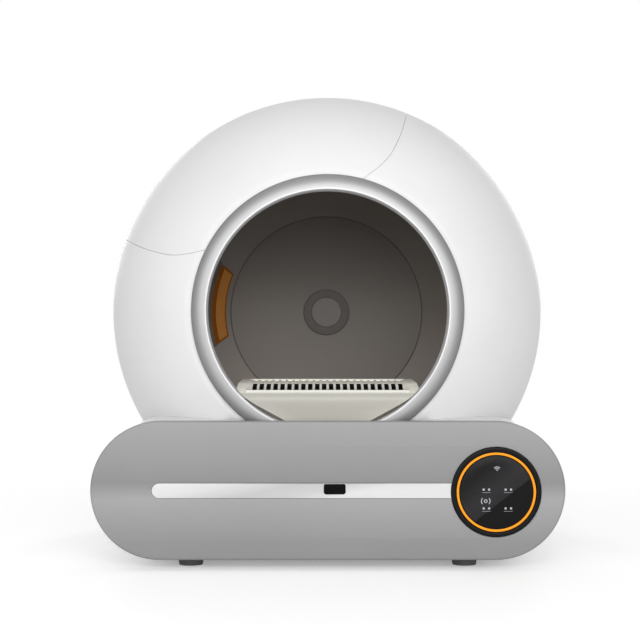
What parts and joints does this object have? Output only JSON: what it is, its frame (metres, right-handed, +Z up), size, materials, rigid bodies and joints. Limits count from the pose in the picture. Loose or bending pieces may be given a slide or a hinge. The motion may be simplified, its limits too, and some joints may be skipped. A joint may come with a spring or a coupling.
{
  "type": "self cleaning litter box",
  "caption": "Globe shaped self cleaning litter box on a low base, with a turning drum and sieve, a ringed entrance with a slotted step, a round touch display and a rear waste drawer.",
  "frame": {"origin": "centre of the footprint on the floor", "axes": "+X right seen from the front, the entrance faces -Y, +Z up"},
  "size_m": [0.5638, 0.5, 0.5879],
  "materials": {
    "shell_white": "satin white moulded shell",
    "fascia_grey": "fine matte mid grey",
    "strip_white": "pale diffusing plastic",
    "display_black": "polished black",
    "display_glass": "smooth black glass",
    "light_amber": "lit amber light guide",
    "ring_silver": "satin silver",
    "drum_grey": "matte warm dark grey",
    "sieve_amber": "matte amber brown",
    "step_white": "matte warm white",
    "rubber_dark": "matte dark rubber",
    "plastic_dark": "matte black plastic",
    "felt_dark": "dark felt",
    "board_green": "green circuit board",
    "steel": "bright zinc plated steel",
    "aluminium": "machined aluminium",
    "nylon": "natural nylon"
  },
  "bodies": {
    "base": {"fascia": "fascia_grey", "base_casing": "shell_white", "rear_panel": "fascia_grey", "chassis_deck": "plastic_dark", "light_strip": "strip_white", "sensor_window": "display_black", "sensor_board": "board_green", "display_bezel": "display_black", "display_light_ring": "light_amber", "display_glass": "display_glass", "display_board": "board_green", "main_board": "board_green", "dc_inlet": "plastic_dark", "motor": "steel", "motor_bracket": "steel", "bearing_frame": "plastic_dark", "hub_bush": "nylon", "hall_sensor": "plastic_dark", "rear_screw_1": "steel", "rear_screw_2": "steel", "rear_screw_3": "steel", "rear_screw_4": "steel", "roller_bracket_left": "steel", "roller_bracket_right": "steel", "roller_axle_left": "steel", "roller_axle_right": "steel", "foot_front_left": "rubber_dark", "foot_front_right": "rubber_dark", "foot_rear_left": "rubber_dark", "foot_rear_right": "rubber_dark", "load_cell_front_left": "aluminium", "load_cell_front_right": "aluminium", "load_cell_rear_left": "aluminium", "load_cell_rear_right": "aluminium", "shell_front": "shell_white", "shell_rear": "shell_white", "rear_cap": "shell_white", "entry_ring": "ring_silver", "mouth_seal": "felt_dark"},
    "drum": {"drum_front": "drum_grey", "drum_rear": "drum_grey", "hub_cap": "drum_grey", "hub_shaft": "steel", "ring_gear": "nylon", "sieve_frame": "sieve_amber", "sieve_screen": "sieve_amber", "home_magnet": "steel"},
    "pinion": {"drive_pinion": "nylon", "motor_shaft": "steel"},
    "left_roller": {"roller_left": "rubber_dark"},
    "right_roller": {"roller_right": "rubber_dark"},
    "drawer": {"drawer_bin": "plastic_dark", "drawer_front": "fascia_grey", "bag_frame": "plastic_dark"},
    "lid": {"hatch": "shell_white"},
    "step": {"step_tray": "step_white"},
    "grid": {"step_grid": "step_white"}
  },
  "joints": [
    {"name": "drum_spin", "type": "hinge", "parent": "base", "child": "drum", "pos_m": [0, 0.013, 0.306], "axis": [0, 1, 0], "continuous": true},
    {"name": "pinion_spin", "type": "hinge", "parent": "base", "child": "pinion", "pos_m": [0.14613, 0.13, 0.11562], "axis": [0, 1, 0], "continuous": true},
    {"name": "left_roller_spin", "type": "hinge", "parent": "base", "child": "left_roller", "pos_m": [-0.08215, -0.182, 0.16371], "axis": [0, 1, 0], "continuous": true},
    {"name": "right_roller_spin", "type": "hinge", "parent": "base", "child": "right_roller", "pos_m": [0.08215, -0.182, 0.16371], "axis": [0, 1, 0], "continuous": true},
    {"name": "drawer_slide", "type": "slide", "parent": "base", "child": "drawer", "axis": [0, 1, 0], "range_m": [0, 0.34]},
    {"name": "hatch_lift", "type": "slide", "parent": "base", "child": "lid", "axis": [-0.4115, 0, 0.9114], "range_m": [0, 0.12]},
    {"name": "step_lift", "type": "slide", "parent": "base", "child": "step", "axis": [0, 0, 1], "range_m": [0, 0.06]},
    {"name": "grid_lift", "type": "slide", "parent": "step", "child": "grid", "axis": [0, 0, 1], "range_m": [0, 0.03]}
  ],
  "couplings": [
    {"joint": "pinion_spin", "follows": "drum_spin", "ratio": -7},
    {"joint": "left_roller_spin", "follows": "drum_spin", "ratio": -10.714},
    {"joint": "right_roller_spin", "follows": "drum_spin", "ratio": -10.714}
  ]
}
